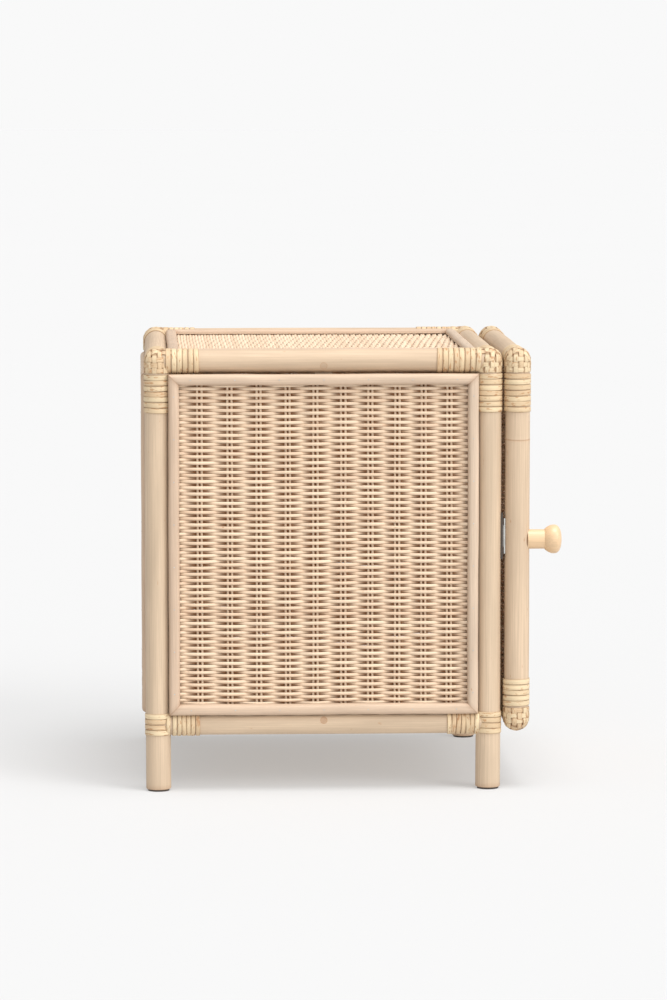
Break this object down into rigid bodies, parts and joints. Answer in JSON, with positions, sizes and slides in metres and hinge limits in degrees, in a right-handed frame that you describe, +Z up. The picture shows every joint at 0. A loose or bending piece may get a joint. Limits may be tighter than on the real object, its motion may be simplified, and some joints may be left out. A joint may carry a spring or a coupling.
{
  "type": "bedside cabinet",
  "caption": "Rattan bedside cabinet with woven side, back, top and door panels, a round pole frame on short legs, and a full-height hinged door with a turned knob.",
  "frame": {"origin": "centre of the underside of the overall box, on the floor, with the door shut", "axes": "+Z up; the door faces -Y; +X is the hinge side"},
  "size_m": [0.409, 0.473, 0.5],
  "materials": {
    "pole": "sanded natural rattan pole, matt",
    "peel": "split rattan peel, satin",
    "weave": "woven rattan reed, matt",
    "moulding_wood": "sanded rattan moulding, matt",
    "plug_wood": "sanded wood plug, matt",
    "board_wood": "clear-finished plywood",
    "knob_wood": "turned hardwood, satin",
    "fastener_steel": "zinc-plated steel",
    "hinge_steel": "nickel-plated steel",
    "catch_steel": "bright steel",
    "dark_plastic": "dark brown plastic"
  },
  "bodies": {
    "cabinet": {"binding_bottom_back_left": "peel", "binding_bottom_back_right": "peel", "binding_bottom_front_left": "peel", "binding_bottom_front_right": "peel", "binding_top_back_left": "peel", "binding_top_back_right": "peel", "binding_top_front_left": "peel", "binding_top_front_right": "peel", "bottom_board": "board_wood", "brace_bottom": "pole", "brace_top": "pole", "catch_case": "dark_plastic", "catch_magnet": "catch_steel", "catch_screws": "fastener_steel", "foot_glides": "dark_plastic", "frame_screws": "fastener_steel", "hinge_pins": "hinge_steel", "hinge_post_leaves": "hinge_steel", "hinge_post_screws": "fastener_steel", "moulding_back": "moulding_wood", "moulding_left": "moulding_wood", "moulding_nails": "fastener_steel", "moulding_right": "moulding_wood", "moulding_top": "moulding_wood", "panel_back": "weave", "panel_left": "weave", "panel_right": "weave", "panel_top": "weave", "post_back_left": "pole", "post_back_right": "pole", "post_front_left": "pole", "post_front_right": "pole", "rail_bottom_back": "pole", "rail_bottom_front": "pole", "rail_bottom_left": "pole", "rail_bottom_right": "pole", "rail_top_back": "pole", "rail_top_front": "pole", "rail_top_left": "pole", "rail_top_right": "pole", "screw_plugs": "plug_wood", "shelf_bearers": "board_wood", "shelf_board": "board_wood"},
    "door": {"door_binding_bottom_left": "peel", "door_binding_bottom_right": "peel", "door_binding_top_left": "peel", "door_binding_top_right": "peel", "door_frame_screws": "fastener_steel", "door_moulding": "moulding_wood", "door_moulding_nails": "fastener_steel", "door_panel": "weave", "door_rail_bottom": "pole", "door_rail_top": "pole", "door_small_screws": "fastener_steel", "door_stile_left": "pole", "door_stile_right": "pole", "knob": "knob_wood", "knob_screw": "fastener_steel", "hinge_door_leaves": "hinge_steel", "strike_plate": "catch_steel"}
  },
  "joints": [
    {"name": "door_hinge", "type": "hinge", "parent": "cabinet", "child": "door", "pos_m": [0.2, -0.17, 0.2775], "axis": [0, 0, 1], "range_deg": [0, 150]}
  ]
}
